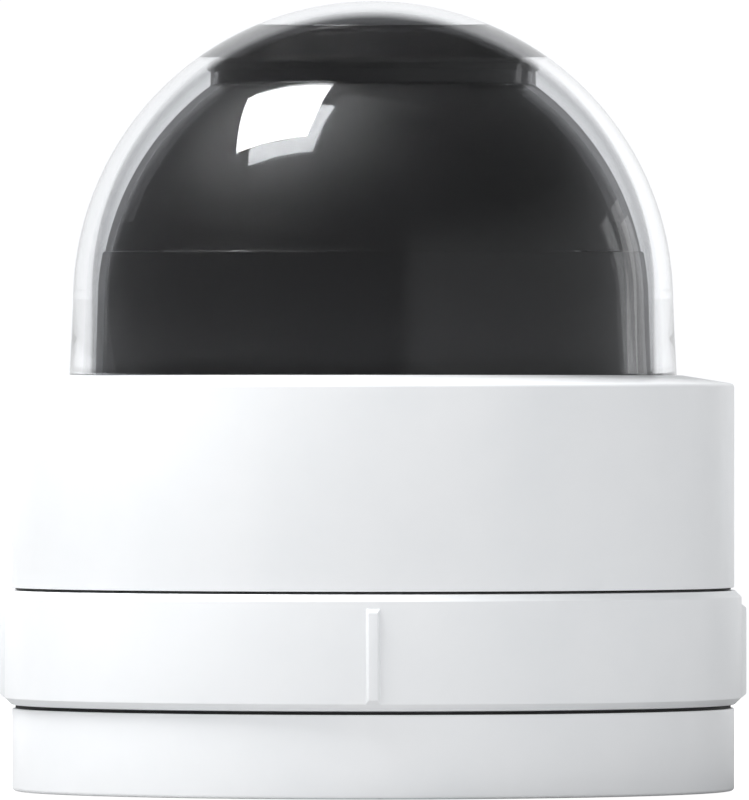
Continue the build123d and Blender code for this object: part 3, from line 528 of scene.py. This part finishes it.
def make_crown_seal():
    """Soft ring on the cap's shoulder, pressed lightly against the dome."""
    press = 0.02
    outer = cap_radius + 0.6
    contact = inner_radius + press
    foot = seat_sphere - press
    outline = arc(inner_centre, contact, above(crown_in, inner_centre, contact),
                  above(outer, inner_centre, contact), 30)
    outline += [(outer, above(cap_radius, cap_centre, foot))]
    outline += arc(cap_centre, foot, above(cap_radius, cap_centre, foot),
                   above(crown_in, cap_centre, foot), 24)
    ring = spin("crown_ring", outline, 288)
    dress(ring, smoked_silicone, "turret", "crown_seal")


make_base()
make_grip_ring()
make_housing()
make_dome()
make_cover()
make_crown_seal()


# ------------------------------------------------ studio
def make_floor():
    """Pale round floor that the camera stands on."""
    reach, drop = 0.7, 0.0002
    mesh = bpy.data.meshes.new("studio_floor")
    shape = bmesh.new()
    bmesh.ops.create_circle(shape, cap_ends=True, segments=96, radius=reach)
    shape.to_mesh(mesh)
    shape.free()
    floor = bpy.data.objects.new("studio_floor", mesh)
    floor.location.z = -drop
    bpy.context.scene.collection.objects.link(floor)
    made = Shader("pale_floor", Roughness=0.9, Emission_Color=(1, 1, 1, 1))
    made.tint(made.noise(8, 2), (0.35, 0.35, 0.35), (0.37, 0.37, 0.37))
    # It glows white where it is looked at directly, and is clear from below, so that the underside shows.
    path = made.node("ShaderNodeLightPath").outputs
    bounces = made.maths("ADD", path["Diffuse Depth"], path["Glossy Depth"])
    made.feed(made.maths("SUBTRACT", 1.0, bounces, clamp=True), "Emission Strength")
    below = made.node("ShaderNodeNewGeometry").outputs["Backfacing"]
    made.feed(made.maths("SUBTRACT", 1.0, below), "Alpha")
    mesh.materials.append(made.material)


def softbox(name, position, aim, width, height, power, roll=0.0, seen=True):
    """Rectangular soft light. Where it isn't seen, it lights surfaces without a mirror image of itself."""
    lamp = bpy.data.lights.new(name, "AREA")
    lamp.shape = "RECTANGLE"
    lamp.size = width
    lamp.size_y = height
    lamp.energy = power
    holder = bpy.data.objects.new(name, lamp)
    bpy.context.scene.collection.objects.link(holder)
    holder.location = position
    turned = (Vector(aim) - Vector(position)).to_track_quat("-Z", "Y").to_matrix()
    holder.rotation_euler = (turned @ Matrix.Rotation(math.radians(roll), 3, "Z")).to_euler()
    holder.visible_glossy = seen
    holder.visible_transmission = seen
    holder.visible_camera = False
    return holder


def make_world():
    """White surround where it is looked at directly or through clear parts, and a dim room in mirrors."""
    world = bpy.data.worlds.new("studio")
    bpy.context.scene.world = world
    world.use_nodes = True
    world.node_tree.nodes.clear()
    made = Nodes(world.node_tree)
    path = made.node("ShaderNodeLightPath").outputs
    way = made.axes(made.node("ShaderNodeTexCoord").outputs["Generated"])

    # Behind the camera model the room is bright, but less so in the smoked cover, seen through the dome.
    on_cover = made.maths("COMPARE", path["Transmission Depth"], 4.0, 0.5)
    bright = made.ramp(on_cover, 0.0, 1.0, 0.92, 0.16)
    behind = made.maths("MULTIPLY_ADD", made.ramp(way["Y"], 0.76, 0.83), bright, 0.08)
    right_wall = made.maths("MULTIPLY", made.ramp(way["X"], 0.17, 0.32, 0.0, 0.11),
                          made.ramp(way["Z"], 0.26, 0.54, 1.0, 0.0))
    mirrored = made.maths("ADD", behind, right_wall)
    scattered = made.maths("MINIMUM", path["Diffuse Depth"], 1.0)
    room = made.blend(scattered, mirrored, 0.62)
    bounces = made.maths("ADD", path["Diffuse Depth"], path["Glossy Depth"])
    level = made.blend(made.maths("LESS_THAN", bounces, 0.5), room, 1.05)

    back = made.node("ShaderNodeBackground", Color=(0.975, 0.985, 1, 1))
    made.link(level, back.inputs["Strength"])
    made.link(back.outputs[0], made.node("ShaderNodeOutputWorld").inputs["Surface"])


def make_lights():
    """High key from the left, weak fills in front and at the left, and a strip at the right."""
    middle = Vector((0, 0, 0.06))
    key_way, key_distance = Vector((-0.446, -0.065, 0.893)), 1.1
    key = softbox("key_softbox", middle + key_way * key_distance, middle, 0.46, 0.46, 16, roll=-36)
    key.data.use_nodes = True
    made = Nodes(key.data.node_tree)
    # The key is stronger in what shines back through both the cover and the dome.
    depth = made.node("ShaderNodeLightPath").outputs["Transmission Depth"]
    made.link(made.ramp(depth, 6.0, 8.0, 1.0, 4.0), made.tree.nodes["Emission"].inputs["Strength"])
    softbox("front_fill", (0.75, -1.5, 0.35), middle, 1.0, 0.8, 7, seen=False)
    softbox("left_fill", (-1.4, -0.7, 0.3), middle, 1.2, 1.0, 4.5, seen=False)
    softbox("right_strip", (1.0, 0.62, 0.1), middle, 0.16, 0.6, 0.25)


def make_camera():
    """Long lens, level, at mid height."""
    distance, aside, eye = 2.245, 0.0002, 0.0577
    data = bpy.data.cameras.new("camera")
    camera = bpy.data.objects.new("camera", data)
    bpy.context.scene.collection.objects.link(camera)
    data.lens = 683
    data.sensor_width = 36
    data.clip_end = 20
    camera.location = (aside, -distance, eye)
    camera.rotation_euler = (math.radians(90), 0, 0)
    bpy.context.scene.camera = camera


make_floor()
make_world()
make_lights()
make_camera()
bpy.context.scene.view_settings.view_transform = "Standard"
